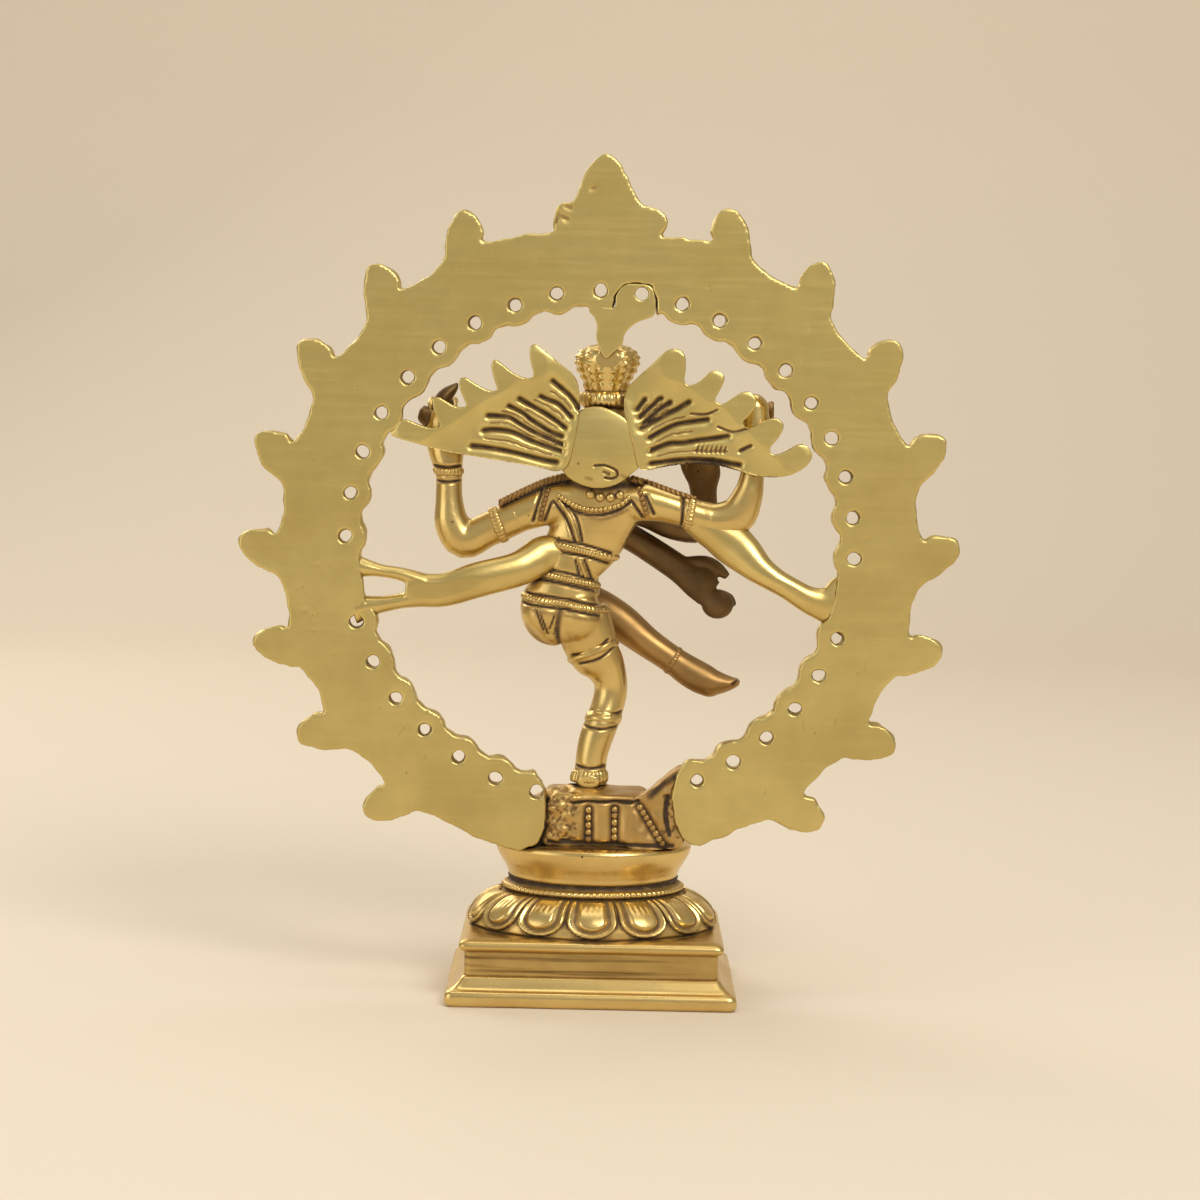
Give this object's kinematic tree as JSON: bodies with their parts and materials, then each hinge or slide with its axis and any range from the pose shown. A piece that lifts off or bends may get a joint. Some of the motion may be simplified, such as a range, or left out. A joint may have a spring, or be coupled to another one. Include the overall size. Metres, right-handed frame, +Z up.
{
  "type": "dancing figure statue",
  "caption": "Brass dancing figure in a pierced flame ring, standing on a dwarf, an oval lotus seat and a stepped plinth.",
  "frame": {"origin": "middle of the plinth's underside, on the surface it stands on", "axes": "+Z up, +Y the way the figure faces, so the filed flat backs face -Y; +X is the figure's right"},
  "size_m": [0.1722, 0.054, 0.203],
  "materials": {
    "filed_brass": "filed flat by hand, satin, with fine scratches",
    "figure_brass": "cast and buffed, dark in its grooves",
    "aged_brass": "as cast, with a dark brown patina",
    "plinth_brass": "cast and polished, dark in its recesses"
  },
  "bodies": {
    "root": {"base_slab": "plinth_brass", "plinth_die": "plinth_brass", "plinth_cap": "plinth_brass", "lotus_dome": "plinth_brass", "lotus_petals": "plinth_brass", "ticked_collar": "plinth_brass", "cushion": "plinth_brass", "dwarf_body": "aged_brass", "ring_foot": "aged_brass", "dwarf_head": "aged_brass", "dwarf_legs": "aged_brass", "dwarf_arms": "aged_brass", "dwarf_straps": "aged_brass", "flame_ring": "filed_brass", "crown_lug": "filed_brass", "crown": "figure_brass", "crown_band": "figure_brass", "head": "figure_brass", "nape_disc": "filed_brass", "hair_fan_left": "filed_brass", "hair_fan_right": "filed_brass", "hair_locks": "aged_brass", "earrings": "figure_brass", "torso": "figure_brass", "necklace": "figure_brass", "shoulder_straps": "aged_brass", "sacred_thread": "figure_brass", "chest_belt": "figure_brass", "waist_belt": "figure_brass", "hip_belt": "figure_brass", "hips": "figure_brass", "standing_leg": "figure_brass", "thigh_hem": "figure_brass", "knee_band": "figure_brass", "standing_anklet": "figure_brass", "standing_foot": "figure_brass", "raised_leg": "aged_brass", "raised_anklet": "aged_brass", "drum_arm": "figure_brass", "drum": "aged_brass", "drum_armlet": "figure_brass", "elbow_strut": "filed_brass", "flame_arm": "figure_brass", "hand_flame": "aged_brass", "flame_armlet": "figure_brass", "flame_wristlet": "figure_brass", "blessing_arm": "aged_brass", "crossing_arm": "aged_brass", "flying_sash": "filed_brass"}
  },
  "joints": []
}
